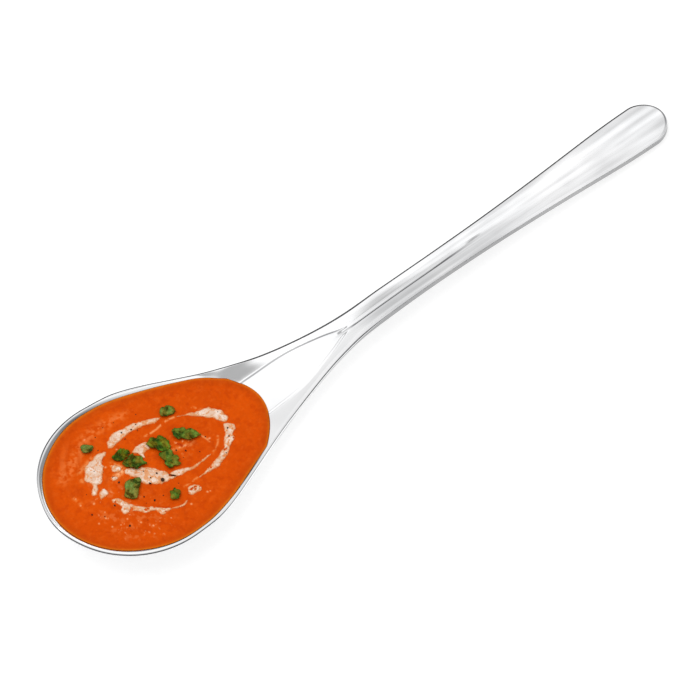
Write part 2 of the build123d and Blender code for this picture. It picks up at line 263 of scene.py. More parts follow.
def upper(s, y, soft=0.22):
    """Height of the hollow face: bowl, throat, creased handle."""
    s = np.asarray(s, float)
    y = np.asarray(y, float)
    ay = np.abs(y)
    d = depth(s)
    i2 = inner2(s)
    r = np.where(s > 2.0, d / np.where(np.abs(i2) < 1e-6, 1.0, i2), BOWL_R)
    bowl = (d - r * y * y) * (1.0 + BOWL_A * y * y / BOWL_W ** 2)
    wi = np.sqrt(np.maximum(i2, 1.0))
    c = np.maximum(flat_tab(s), 0.0)
    span = wi - c
    t = (ay - c) / span
    ramp = 0.5 * (t + np.sqrt(t * t + soft * soft))
    base = 0.5 * (-c / span + np.sqrt((c / span) ** 2 + soft * soft))
    top = 0.5 * (1.0 + math.sqrt(1.0 + soft * soft))
    flat = d * (1.0 - (ramp - base) / (top - base))
    vee = d * (1.0 - ay / wi)
    dish = d * (1.0 - (y / wi) ** 2)
    e = smooth((s - 118.0) / 34.0)
    grip = (1.0 - e) * vee + e * dish - 0.5 * smooth((s - 176.0) / 14.0)
    f1 = smooth((s - 50.0) / 12.0)
    f2 = smooth((s - 84.0) / 10.0)
    low = (1.0 - f1) * bowl + f1 * flat
    return edge(s) - ((1.0 - f2) * low + f2 * grip)


def lower(s, y):
    h = 0.05
    zx = (upper(s + h, y) - upper(s - h, y)) / (2 * h)
    zy = (upper(s, y + h) - upper(s, y - h)) / (2 * h)
    shell = upper(s, y) - SHELL_T * np.sqrt(1.0 + zx * zx + zy * zy)
    crown = 0.55 * np.minimum(4.0, (y / np.maximum(half_tab(np.clip(s, 4.0, 183.6)), 1.0)) ** 2)
    bar = edge(s) - HANDLE_T - 0.35 * (1.0 - smooth((s - 90.0) / 50.0)) + crown
    f = smooth((s - 52.0) / 34.0)
    return np.maximum((1.0 - f) * shell + f * bar, 0.0)


fold_tab = Tab([(58.0, 5.55), (62.0, 5.6), (66.0, 5.5), (70.0, 5.4), (74.0, 5.1), (78.0, 4.4), (82.0, 3.4),
                (86.0, 2.25), (88.0, 1.55), (90.0, 0.95), (93.0, 0.4), (97.0, 0.1), (120.0, 0.0)])


def tent(t, w, e):
    """Rounded triangle of height 1 and half width w."""
    q = w - np.sqrt(t * t + (0.25 * e) ** 2)
    return 0.5 * (q + np.sqrt(q * q + e * e)) / w


def trimmed(s, y):
    """Hollow face run into the flat land of the rim with a softened inner edge."""
    d = edge(s) - upper(s, y) + 0.30 * (1.0 - smooth((np.asarray(s, float) - 52.0) / 12.0))
    k = 0.10 + 0.22 * (1.0 - smooth((np.asarray(s, float) - 52.0) / 12.0))
    ay = np.abs(y)
    c = fold_tab(s)
    # pressed line at the foot of each throat wall
    fold = 0.34 * smooth((s - 58.0) / 5.0) * (1.0 - smooth((s - 87.0) / 7.0))
    inner = tent(np.minimum(ay - c, 0.0), 0.62, 0.05)
    outer = np.exp(-(np.maximum(ay - c, 0.0) / 4.2) ** 2)
    d = d + fold * np.where(ay < c, inner, outer)
    # one line down the middle of the handle
    line = 0.24 * smooth((s - 86.0) / 6.0) * (1.0 - smooth((s - 114.0) / 28.0))
    d = d + line * tent(y, 0.60, 0.03)
    return edge(s) - 0.5 * (d + np.sqrt(d * d + k * k))


spread_tab = Tab([(28.0, 0.0), (31.0, 0.12), (34.0, 0.36), (38.0, 0.50), (44.0, 0.57), (50.0, 0.58), (56.0, 0.52),
                  (64.0, 0.50), (72.0, 0.47), (78.0, 0.42), (84.0, 0.33), (90.0, 0.23), (96.0, 0.17), (104.0, 0.13),
                  (120.0, 0.12), (135.0, 0.16), (150.0, 0.23), (165.0, 0.25), (174.0, 0.22), (180.0, 0.08),
                  (183.4, 0.0)])


def spread(s):
    """Extra land outside the hollow face on the shoulders, the neck and the grip."""
    return np.maximum(spread_tab(np.clip(np.asarray(s, float), 28.0, 183.4)), 0.0)


def under(s, y):
    """Back face, carried out to the widened outline."""
    h = np.maximum(half(s), 0.5)
    return lower(s, y * h / (h + spread(s)))


def build_spoon(mat):
    # rows along the outline of one half, from the bowl tip to the end of the handle
    rows = list((np.linspace(0.0, 10.0, 22) ** 2) / 30.8)
    rows += list(np.arange(rows[-1] + 0.45, 183.4, 0.62))
    rows += [183.6 + (LENGTH - 183.6) * (1.0 - (1.0 - q) ** 2) for q in np.linspace(0.0, 1.0, 22)]
    so = np.array(rows)
    n = len(so)
    w = (half(so) + spread(so)) * 0.9995
    w[0] = w[-1] = 0.0
    ds, dw = np.gradient(so), np.gradient(w)
    ln = np.hypot(ds, dw)
    nx, ny = -dw / ln, ds / ln
    nx[0], ny[0], nx[-1], ny[-1] = -1.0, 0.0, 1.0, 0.0
    # middle line points the rows fan out from
    f = smooth((so - 60.0) / 70.0)
    sc = (1 - f) * np.sqrt(so ** 2 + 12.0 ** 2) + f * (LENGTH - np.sqrt((LENGTH - so) ** 2 + 5.0 ** 2))
    neck = smooth((so - 62.0) / 8.0) * (1.0 - smooth((so - 92.0) / 12.0))
    grip = smooth((so - 90.0) / 14.0)
    draft = 0.14 * smooth((so - 84.0) / 16.0)          # handle sides lean out towards the back
    tx, ty = so - nx * draft, w - ny * draft           # upper edge line
    c1 = 0.38 + 0.20 * neck + 0.06 * grip              # width of the shallow upper bevel
    a1 = 0.36 - 0.28 * grip                            # width of the steep bevel below it
    k0 = 0.92 - 0.06 * neck                            # slopes the steep bevel starts and ends with
    k1 = 1.75 - 0.05 * neck
    a0 = c1 + a1
    reach = np.maximum(np.minimum(2.0, 0.55 * np.maximum(w - draft, 0.0) + 0.5), a0 + 0.35)
    cols = []

    def at(off):
        s, y = tx - nx * off, ty - ny * off
        y = y.copy()
        y[0] = y[-1] = 0.0
        return s, y

    ix, iy = at(reach)
    inward = np.concatenate([[0, 0.008, 0.02, 0.035, 0.055, 0.08], np.linspace(0.105, 1.0, 58)])
    for r in inward:
        s, y = sc + (ix - sc) * r, iy * r
        cols.append(np.stack([s, y, trimmed(s, y)], 1))
    for q in np.linspace(0.94, 0.0, 16):
        off = a0 + (reach - a0) * q
        s, y = at(off)
        cols.append(np.stack([s, y, trimmed(s, y)], 1))
    z0 = cols[-1][:, 2]
    for q in (0.06, 0.36, 0.66, 0.95):
        off = a0 - c1 * q
        s, y = at(off)
        cols.append(np.stack([s, y, z0 - 0.56 * (a0 - off)], 1))
    z1 = z0 - 0.56 * c1
    z2 = z1 - 0.5 * a1 * (k0 + k1)
    s, y = at(a1)
    p0 = np.stack([s, y, z1], 1)
    s, y = at(0.5 * a1)
    p1 = np.stack([s, y, z1 - 0.5 * a1 * k0], 1)
    p2 = np.stack([tx, ty, z2], 1)
    for b in np.linspace(0.0, 1.0, 7):
        cols.append((1 - b) ** 2 * p0 + 2 * b * (1 - b) * p1 + b * b * p2)
    p2 = np.stack([tx + nx * draft * 0.12, ty + ny * draft * 0.12, z2 - 0.07 + 0.05 * grip], 1)
    cols.append(p2)
    zl = under(so, w)
    rb = 0.5 + 0.5 * neck
    p3 = np.stack([so - nx * draft * 0.12, w - ny * draft * 0.12, np.minimum(zl + 0.36 + 0.5 * neck, p2[:, 2] - 0.02)], 1)
    for b in (0.25, 0.5, 0.75):
        cols.append(p2 * (1 - b) + p3 * b)
    p4 = np.stack([so, w, zl], 1)
    jx, jy = so - nx * rb, w - ny * rb
    jy[0] = jy[-1] = 0.0
    p5 = np.stack([jx, jy, under(jx, jy)], 1)
    for b in np.linspace(0.0, 1.0, 9):
        cols.append((1 - b) ** 2 * p3 + 2 * b * (1 - b) * p4 + b * b * p5)
    for r in np.concatenate([np.linspace(0.96, 0.06, 26), [0.0]]):
        s, y = sc + (jx - sc) * r, jy * r
        cols.append(np.stack([s, y, under(s, y)], 1))
    grid = np.stack(cols, 1)                             # rows, columns, 3
    grid[0, :, 1] = 0.0
    grid[-1, :, 1] = 0.0
    m = grid.shape[1]

    # the sheared side is left satin (rougher) and its base colour is painted darker, painted shade standing in for the
    # dark reflection along the side and the bottom fillet; the faces are polished
    first = len(inward) + 16 + 4 + 7
    tone = np.ones((n, m))
    tone[:, first:first + 13] = 0.44
    tone[:, first + 13:first + 17] = 0.78
    # lengthwise polishing streaks that fan out with the handle, laid over a painted shade that darkens the whole
    # handle below the bowl
    gs, gy = grid[:, :, 0], grid[:, :, 1]
    v = gy / np.maximum(half(np.clip(gs, 1.0, 184.0)), 1.0)

    def streaks_and_painted_shade(sign):
        amount = smooth((gs - 84.0) / 20.0)
        st = fbm(gs * 0.018 + 3.0, sign * v * 2.4 + 40.0, 5, 3) - 0.5
        st2 = fbm(gs * 0.05 + 9.0, sign * v * 8.0 + 40.0, 6, 2) - 0.5
        cloud = fbm(gs * 0.10 + 2.0, sign * gy * 0.28 + 7.0, 12, 3) - 0.5
        return np.clip(tone * (1.0 + amount * (0.62 * st + 0.14 * st2 + 0.30 * cloud - 0.15)), 0.40, 1.10)

    verts = grid.reshape(-1, 3)
    mirror = verts * np.array([1.0, -1.0, 1.0])
    allv = (np.concatenate([verts, mirror]) - np.array([LOW, 0.0, 0.0])) * MM
    streaks_and_side_shade = np.concatenate([streaks_and_painted_shade(1.0).reshape(-1), streaks_and_painted_shade(-1.0).reshape(-1)])
    i, j = np.meshgrid(np.arange(n - 1), np.arange(m - 1), indexing="ij")
    q = (i * m + j).reshape(-1)
    faces = list(zip(q, q + m, q + m + 1, q + 1))
    q = q + n * m
    faces += list(zip(q, q + 1, q + m + 1, q + m))
    ob = make_mesh("spoon_polished", allv, faces, mat)
    layer = ob.data.attributes.new("tone", "FLOAT", "POINT")
    layer.data.foreach_set("value", streaks_and_side_shade.astype(np.float32))
    weld(ob, 2e-6)
    return ob


# ------------------------------------------------------------------ soup shape (mm)
def soup_level(s, y=0.0):
    return RIM_H + RIM_SLOPE * (s - 28.0) - SOUP_DROP + SOUP_TILT * (s - 25.0) - 0.014 * y


CENTRE = 31.0
RAYS = 840
THETA = np.linspace(-math.pi, math.pi, RAYS, endpoint=False)


def soup_edge(theta):
    """Distance from the middle of the soup to the steel, for each direction."""
    lo = np.full_like(theta, 1.0)
    hi = np.full_like(theta, 36.0)
    for _ in range(50):
        mid = 0.5 * (lo + hi)
        s = CENTRE + mid * np.cos(theta)
        y = mid * np.sin(theta)
        wet = trimmed(s, y) < soup_level(s, y) + 0.04
        wet &= (np.abs(y) < half(np.clip(s, 0, 190)) - 0.6) & (s > 0.6)
        wet &= s < 63.5 - 0.05 * y * y                    # rounded end in the shallow throat
        lo = np.where(wet, mid, lo)
        hi = np.where(wet, hi, mid)
    return lo


RADIUS = soup_edge(THETA)
for _ in range(6):
    RADIUS = 0.25 * np.roll(RADIUS, 1) + 0.5 * RADIUS + 0.25 * np.roll(RADIUS, -1)


GAP = np.maximum(soup_level(CENTRE + RADIUS * np.cos(THETA), RADIUS * np.sin(THETA))
                 - trimmed(CENTRE + RADIUS * np.cos(THETA), RADIUS * np.sin(THETA)) - 0.03, 0.0)


def rim_of(s, y):
    """Distance from the steel, measured along the ray from the middle."""
    t = np.arctan2(y, s - CENTRE)
    return np.interp(t, THETA, RADIUS, period=2 * math.pi) - np.hypot(s - CENTRE, y)


def soup_top(s, y, rim=None):
    """Soup surface with a thin raised lip where it wets the steel and a lightly uneven top."""
    s = np.asarray(s, float)
    y = np.asarray(y, float)
    if rim is None:
        rim = rim_of(s, y)
    rim = np.maximum(rim, 0.0)
    lip = 0.14 * np.exp(-rim / 0.45)
    swell = 0.10 * (fbm(s * 0.16, y * 0.16, 3, 3) - 0.5) + 0.05 * (fbm(s * 0.9, y * 0.9, 8, 3) - 0.5)
    t = np.arctan2(y, s - CENTRE)
    gap = np.interp(t, THETA, GAP, period=2 * math.pi)   # the thin end lies down on the throat floor
    return soup_level(s, y) + (lip * (gap < 0.02) - gap) * np.exp(-(rim / 0.55) ** 2) * (gap > 0.02) + (
        lip * (gap <= 0.02)) + swell * smooth((rim - 0.2) / 2.0)


# lighter frothy area, fine streaks of cream and single bubbles in the soup surface
FROTH = [(8.4, 9.0), (11.1, 11.7), (16.5, 13.8), (20.5, 16.1), (24.3, 16.9), (29.4, 16.8), (33.8, 15.9),
         (35.3, 15.1), (32.0, 13.7), (26.9, 13.8), (22.5, 13.5), (17.2, 10.8), (13.8, 8.6), (10.0, 7.8)]
STREAKS = [
    ([(33.8, 7.0), (37.0, 7.0), (40.4, 7.5), (42.8, 7.2)], 0.30, 0.75),
    ([(44.6, -0.4), (45.2, -2.0), (45.4, -3.3)], 0.28, 0.7),
    ([(36.5, 0.2), (38.1, -0.4), (40.0, -0.6), (42.0, -0.8)], 0.7, 0.4),
    ([(22.3, 5.3), (23.1, 4.1), (23.3, 2.8), (21.6, 2.3), (20.0, 2.2)], 0.75, 0.95),
    ([(36.5, -9.6), (34.6, -9.7), (32.4, -9.8)], 0.3, 0.5),
    ([(8.9, 3.3), (9.2, 1.8), (9.1, 0.4)], 0.5, 0.4),
    ([(20.1, 9.9), (16.6, 8.9), (14.4, 8.1), (13.5, 5.8)], 0.55, 0.5),
    ([(48.2, 6.8), (49.2, 5.5), (49.8, 4.6)], 0.3, 0.6),
    ([(43.7, -6.3), (46.2, -5.2), (48.0, -3.2)], 0.28, 0.6),
]
BUBBLES = [(12.4, -4.1), (9.2, -5.8), (11.5, -5.6), (13.2, -9.2), (19.3, -14.0), (35.8, -14.2), (36.5, -14.4),
           (11.2, -8.4), (11.8, -0.7), (9.2, 3.0), (8.9, 0.8), (45.9, -2.6), (24.1, -14.8), (15.5, -8.8),
           (17.5, -11.5), (21.5, 14.9), (26.0, 8.2), (20.6, 5.8), (38.4, -0.4), (40.2, 0.6), (30.5, -14.6)]


def curve(ring, per=8, closed=True):
    """Catmull-Rom through the points."""
    p = np.array(ring, float)
    n = len(p)
    out = []
    for i in range(n if closed else n - 1):
        if closed:
            a, b, c, d = p[(i - 1) % n], p[i], p[(i + 1) % n], p[(i + 2) % n]
        else:
            a, b, c, d = p[max(i - 1, 0)], p[i], p[i + 1], p[min(i + 2, n - 1)]
        for k in range(per):
            t = k / per
            out.append(0.5 * ((2 * b) + (c - a) * t + (2 * a - 5 * b + 4 * c - d) * t * t
                              + (3 * b - a - 3 * c + d) * t ** 3))
    if not closed:
        out.append(p[-1])
    return np.array(out)


def distance(s, y, line, closed=True):
    """Distance to a line; with closed rings the inside counts positive, the outside negative."""
    shape = s.shape
    s = s.reshape(-1)
    y = y.reshape(-1)
    best = np.full(len(s), 1e9)
    inside = np.zeros(len(s), bool)
    m = len(line)
    for i in range(m if closed else m - 1):
        a = line[i]
        b = line[(i + 1) % m]
        dx, dy = b - a
        q = np.clip(((s - a[0]) * dx + (y - a[1]) * dy) / max(dx * dx + dy * dy, 1e-12), 0, 1)
        best = np.minimum(best, np.hypot(s - a[0] - q * dx, y - a[1] - q * dy))
        if closed and (a[1] > b[1]) != (b[1] > a[1]) or (closed and (a[1] > b[1])):
            hit = ((a[1] > y) != (b[1] > y)) & (s < (b[0] - a[0]) * (y - a[1]) / (b[1] - a[1]) + a[0])
            inside ^= hit
    if not closed:
        return best.reshape(shape)
    return np.where(inside, best, -best).reshape(shape)


def srgb(c):
    c = np.clip(np.asarray(c, float) / 255.0, 0.0, 1.0)
    return np.where(c <= 0.04045, c / 12.92, ((c + 0.055) / 1.055) ** 2.4)


def mixc(a, b, t):
    t = np.clip(t, 0.0, 1.0)[:, None]
    return a * (1 - t) + np.asarray(b, float) * t


def paint(ob, rgb):
    """Linear colour per vertex."""
    at = ob.data.attributes.new("paint", "FLOAT_COLOR", "POINT")
    full = np.ones((len(rgb), 4), np.float32)
    full[:, :3] = rgb
    at.data.foreach_set("color", full.reshape(-1))


def soup_colour(s, y, rim):
    c = np.tile(np.array([201.0, 72.0, 3.0]), (len(s), 1))
    c = mixc(c, (212, 80, 4), 0.8 * (fbm(s * 0.11, y * 0.11, 31, 3) - 0.42) * 2.0)
    c = mixc(c, (182, 58, 2), smooth((fbm(s * 0.75, y * 0.75, 81, 4) - 0.50) / 0.22) * 0.42)
    c = mixc(c, (216, 92, 22), smooth((fbm(s * 1.3, y * 1.3, 84, 4) - 0.55) / 0.20) * 0.36)
    fr = smooth(distance(s, y, curve(FROTH), True) / 2.4 + 0.45)
    grain = fbm(s * 1.1, y * 1.1, 40, 4)
    c = mixc(c, (222, 110, 50), fr * smooth((grain - 0.36) / 0.26) * 0.9)
    left = smooth((26.0 - s) / 12.0) * smooth((rim - 1.5) / 3.0)
    # strokes follow the sweep of the swirl
    ang = np.arctan2(y - 1.0, s - 33.0) * 17.0
    rad = np.hypot(y - 1.0, s - 33.0)
    blot = smooth((fbm(ang * 0.22, rad * 0.9, 52, 4) - 0.50) / 0.16)
    up = smooth((y + 1.0) / 5.0)
    up = up * smooth((s - 8.0) / 4.0)
    c = mixc(c, (214, 100, 42), left * blot * 0.60 * up)
    c = mixc(c, (186, 64, 4), smooth((fbm(ang * 0.35, rad * 1.1, 57, 4) - 0.54) / 0.14) * left * 0.45 * up)
    near = smooth((28.0 - s) / 10.0) * smooth((s - 8.5) / 3.0) * smooth((3.0 - y) / 4.0) * smooth((rim - 1.5) / 3.0)
    dots = smooth((fbm(s * 0.85, y * 0.85, 63, 4) - 0.55) / 0.14)
    c = mixc(c, (212, 100, 44), dots * near * 0.75)
    specks = smooth((fbm(s * 1.5, y * 1.5, 66, 3) - 0.74) / 0.06)
    c = mixc(c, (226, 142, 96), specks * near * 0.7)
    stir = np.exp(-(np.hypot(s - 39.4, y - 0.3) / 2.8) ** 2)
    c = mixc(c, (168, 44, 3), smooth((fbm(s * 1.3, y * 1.3, 91, 3) - 0.56) / 0.10) * stir * 0.8)
    c = mixc(c, (228, 150, 104), smooth((fbm(s * 1.4, y * 1.4, 96, 3) - 0.62) / 0.08) * stir * 0.8)
    for pts, width, power in STREAKS:
        d = distance(s, y, curve(pts, 8, False), False)
        t = np.exp(-(d / width) ** 2) * smooth((fbm(s * 1.6, y * 1.6, 60, 3) - 0.28) / 0.3)
        c = mixc(c, (238, 172, 122), t * power)
    for i, (bs, by) in enumerate(BUBBLES):
        d = np.hypot(s - bs, y - by)
        c = mixc(c, (240, 186, 150), np.exp(-(d / (0.17 + 0.05 * (i % 3))) ** 2) * 0.8)
    # thin yellow lip where the soup wets the steel
    c = mixc(c, (220, 142, 34), np.exp(-(rim / 0.6) ** 2) * 0.75)
    # painted shade: a darker band about 1 mm in from the steel all round, standing in for the rim's shadow on the soup
    c = mixc(c, (174, 64, 6), np.exp(-((rim - 1.0) / 1.3) ** 2) * 0.40)
    return srgb(c)


def build_soup(mat):
    nt = RAYS
    fr = np.concatenate([np.linspace(0.008, 0.90, 128), np.linspace(0.904, 1.0, 26)])
    co, si = np.cos(THETA), np.sin(THETA)
    top = []
    for q in fr:
        s, y = CENTRE + RADIUS * q * co, RADIUS * q * si
        top.append(np.stack([s, y, soup_top(s, y, RADIUS * (1 - q))], 1))
    s0, y0 = np.array([CENTRE]), np.array([0.0])
    verts = [np.stack([s0, y0, soup_top(s0, y0)], 1)] + top
    low = []
    for q in np.linspace(0.985, 0.05, 26):
        s, y = CENTRE + RADIUS * q * co, RADIUS * q * si
        z = np.minimum(upper(s, y) + 0.10, soup_top(s, y) - 0.02)
        low.append(np.stack([s, y, z], 1))
    verts += low + [np.array([[CENTRE, 0.0, float(upper(s0, y0)[0]) + 0.10]])]
    v = np.concatenate(verts)
    k = np.arange(nt)
    k1 = (k + 1) % nt
    faces = [(0, 1 + a, 1 + b) for a, b in zip(k, k1)]
    rings = len(fr) + len(low)
    for j in range(rings - 1):
        a = 1 + j * nt
        faces += list(zip(a + k, a + nt + k, a + nt + k1, a + k1))
    last = 1 + (rings - 1) * nt
    end = len(v) - 1
    faces += [(end, last + b, last + a) for a, b in zip(k, k1)]
    ob = make_mesh("soup_fill", (v - np.array([LOW, 0, 0])) * MM, faces, mat)
    rim = np.concatenate([[20.0]] + [RADIUS * (1 - q) for q in fr] + [np.full(nt, 20.0)] * len(low) + [[20.0]])
    paint(ob, soup_colour(v[:, 0], v[:, 1], rim))
    return ob


def film(name, ring, step, ragged, top, thick, mat, colour, holes=0.0, seed=0, frill=0.0):
    """Closed thin piece over an outline: dense grid, border vertices pulled onto the outline."""
    rings = ring if isinstance(ring[0], list) else [ring]
    lines = [curve(r) for r in rings]
    every = np.concatenate(lines)
    lo, hi = every.min(0) - 0.6, every.max(0) + 0.6
    gs = np.arange(lo[0], hi[0], step)
    gy = np.arange(lo[1], hi[1], step)
    s, y = np.meshgrid(gs, gy, indexing="ij")
    d = distance(s, y, lines[0])
    for line in lines[1:]:
        d = np.maximum(d, distance(s, y, line))
    f = d + ragged * (fbm(s * 1.3, y * 1.3, 70 + seed, 4) - 0.5) * 2.0
    if frill > 0.0:
        f = f + frill * (fbm(s * 2.1, y * 2.1, 140 + seed, 2) - 0.5) * 2.0
    if holes > 0.0:
        f = np.minimum(f, (holes - fbm(s * 1.5, y * 1.5, 90 + seed, 4)) * 2.2)
    keep = f > -0.7 * step
    cell = keep[:-1, :-1] & keep[1:, :-1] & keep[:-1, 1:] & keep[1:, 1:]
    inner = f > 0
    cell &= inner[:-1, :-1] | inner[1:, :-1] | inner[:-1, 1:] | inner[1:, 1:]
    # no two cells that meet at a corner only
    for _ in range(4):
        one = cell[:-1, :-1] & cell[1:, 1:] & ~cell[1:, :-1] & ~cell[:-1, 1:]
        two = cell[1:, :-1] & cell[:-1, 1:] & ~cell[:-1, :-1] & ~cell[1:, 1:]
        cell[1:, 1:] &= ~one
        cell[1:, :-1] &= ~two
    g0, g1 = np.gradient(f, step)
    gl = np.maximum(g0 * g0 + g1 * g1, 0.15)
    move = np.where(f < 0, -f, 0.0)
    s = s + np.clip(move * g0 / gl, -step, step)
    y = y + np.clip(move * g1 / gl, -step, step)
    f = np.maximum(f, 0.0)
    used = np.zeros(s.shape, bool)
    used[:-1, :-1] |= cell
    used[1:, :-1] |= cell
    used[:-1, 1:] |= cell
    used[1:, 1:] |= cell
    idx = np.full(s.shape, -1)
    idx[used] = np.arange(used.sum())
    n = int(used.sum())
    su, yu, fu = s[used], y[used], f[used]
    zt = top(su, yu, fu)
    zb = zt - thick(su, yu, fu)
    v = np.concatenate([np.stack([su, yu, zt], 1), np.stack([su, yu, zb], 1)])
    ii, jj = np.nonzero(cell)
    q = np.stack([idx[ii, jj], idx[ii + 1, jj], idx[ii + 1, jj + 1], idx[ii, jj + 1]], 1)
    faces = [tuple(r) for r in q] + [tuple(r[::-1] + n) for r in q]
    seen = {}
    for r in q:
        for a in range(4):
            e = (int(r[a]), int(r[(a + 1) % 4]))
            seen[e] = True
    for a, b in seen:
        if (b, a) not in seen:
            faces.append((b, a, a + n, b + n))
    ob = make_mesh(name, (v - np.array([LOW, 0, 0])) * MM, faces, mat)
    rgb = colour(su, yu, fu)
    paint(ob, np.concatenate([rgb, rgb]))
    return ob


CREAM = {
    "cream_far": [(24.4, 9.6), (25.3, 11.0), (27.1, 12.1), (28.8, 12.3), (30.7, 12.0), (32.6, 11.9), (34.4, 11.5), (36.0, 10.9), (37.7, 10.4), (39.2, 9.7), (40.2, 9.0), (38.6, 8.7), (37.0, 9.0), (35.4, 9.6), (33.5, 9.8), (32.2, 10.1), (30.5, 10.0), (28.7, 9.7), (27.1, 9.3), (25.7, 9.2)],
    "cream_left": [(19.4, 9.4), (20.8, 9.9), (22.2, 9.7), (23.3, 9.1), (22.9, 8.3), (21.9, 8.2), (20.8, 7.2), (20.3, 6.1), (18.9, 4.7), (17.8, 3.5), (16.8, 2.7), (15.7, 2.8), (15.0, 1.6), (14.0, 0.9), (13.0, 1.3), (13.5, 2.4), (14.7, 3.4), (15.0, 4.0), (14.3, 5.1), (14.3, 6.2), (15.4, 7.3), (16.4, 8.6), (17.8, 9.1)],
    "cream_left_drop": [(15.2, 1.2), (16.4, 1.3), (16.7, 0.7), (16.6, -0.5), (15.9, -0.8), (14.7, -0.7), (13.8, -1.0), (14.0, -0.0)],
    "cream_near_left": [(15.9, -2.3), (17.4, -2.8), (18.2, -4.3), (18.4, -5.3), (19.3, -6.9), (20.6, -8.3), (22.3, -9.5), (23.8, -10.9), (25.4, -12.1), (27.2, -13.0), (28.9, -13.5), (30.5, -13.1), (29.3, -13.9), (27.5, -13.9), (25.9, -13.0), (24.8, -12.8), (23.1, -12.9), (22.6, -12.0), (22.6, -11.1), (21.4, -10.5), (20.2, -10.2), (19.4, -9.2), (18.2, -8.1), (17.1, -7.6), (15.6, -7.5), (15.8, -6.1), (16.5, -5.4), (16.3, -4.1), (15.7, -3.3)],
    "cream_middle": [[(22.0, 5.2), (22.9, 5.0), (23.5, 4.0), (23.3, 3.0), (22.2, 2.7), (21.3, 3.4), (21.2, 4.4)],
                     [(19.9, 2.6), (20.8, 2.4), (21.2, 1.8), (20.4, 1.4), (19.6, 1.8)],
                     [(23.6, 2.5), (24.8, 2.4), (26.3, 1.0), (27.9, 0.5), (29.4, -0.9), (30.3, -2.3), (31.3, -3.6), (31.7, -4.7), (31.4, -5.4), (32.8, -6.2), (31.6, -6.4), (30.2, -6.2), (28.8, -6.0), (27.4, -5.5), (26.5, -4.4), (25.3, -3.7), (24.8, -2.6), (24.9, -1.3), (24.1, -0.3), (23.5, 0.8), (23.2, 1.6)]],
    "cream_inner_arc": [(31.9, -4.8), (33.2, -4.7), (34.7, -5.2), (36.2, -5.9), (37.9, -6.4), (39.7, -6.4), (41.6, -6.3), (43.7, -6.3), (42.1, -6.6), (40.2, -7.0), (38.3, -7.1), (36.5, -7.1), (34.8, -6.9), (33.2, -6.7), (32.1, -5.8)],
    "cream_inner": [(28.6, 5.4), (30.1, 6.0), (31.5, 6.2), (32.8, 5.8), (32.9, 4.6), (32.6, 3.5), (31.6, 3.7), (30.5, 3.3), (29.9, 2.3), (29.4, 2.9), (29.4, 4.2), (28.8, 4.7)],
    "cream_ring_right": [(43.2, 7.0), (45.3, 6.4), (47.3, 5.7), (49.1, 5.0), (50.3, 5.0), (51.6, 4.2), (52.4, 3.0), (53.4, 2.1), (53.3, 0.9), (53.6, -0.4), (52.6, -1.1), (51.6, -1.1), (50.8, -0.1), (50.3, 1.2), (49.3, 2.1), (48.4, 3.2), (46.8, 4.5), (45.3, 5.8)],
    "cream_ring_near": [(51.1, -1.4), (52.5, -1.9), (53.2, -2.9), (52.8, -4.1), (51.4, -4.8), (50.8, -6.2), (49.4, -6.9), (48.0, -7.7), (46.9, -8.7), (44.7, -9.5), (42.5, -10.2), (40.4, -10.2), (38.5, -10.0), (36.9, -9.8), (38.5, -9.4), (40.4, -9.0), (42.4, -8.4), (44.2, -7.9), (45.9, -7.1), (47.3, -6.6), (48.4, -5.0), (49.6, -3.8), (50.4, -2.6)],
    "cream_drop": [(32.2, -11.0), (33.5, -10.4), (34.7, -10.9), (35.5, -11.8), (35.1, -12.9), (33.9, -12.8), (32.5, -12.9), (31.8, -12.2)],
}
HOLES = {"cream_near_left": 0.68, "cream_drop": 0.66, "cream_ring_near": 0.74}


def cream_top(s, y, f):
    lift = 0.22 * np.sqrt(np.clip(f / 0.55, 0.0, 1.0)) + 0.10 * (fbm(s * 1.2, y * 1.2, 15, 3) - 0.5) * smooth(f / 0.5)
    return soup_top(s, y) + 0.02 + np.maximum(lift, 0.0)


def cream_thick(s, y, f):
    return 0.06 + 0.22 * np.sqrt(np.clip(f / 0.55, 0.0, 1.0))


def cream_colour(s, y, f):
    c = np.tile(np.array([221.0, 188.0, 164.0]), (len(s), 1))
    c = mixc(c, (233, 214, 200), smooth((fbm(s * 0.8, y * 0.8, 26, 3) - 0.48) / 0.2) * 0.85)
    veins = np.abs(fbm(s * 0.5 + 0.25 * y, y * 0.5, 21, 4) - 0.5)
    c = mixc(c, (210, 124, 66), smooth((0.040 - veins) / 0.04) * 0.8)
    spots = smooth((fbm(s * 0.95, y * 0.95, 33, 4) - 0.60) / 0.09)
    c = mixc(c, (214, 128, 66), spots * 0.6)
    pits = smooth((fbm(s * 3.2, y * 3.2, 35, 3) - 0.62) / 0.10)
    c = mixc(c, (200, 138, 100), pits * 0.6)
    c = mixc(c, (212, 122, 60), np.exp(-(f / 0.27) ** 2) * 0.85)
    return srgb(c)


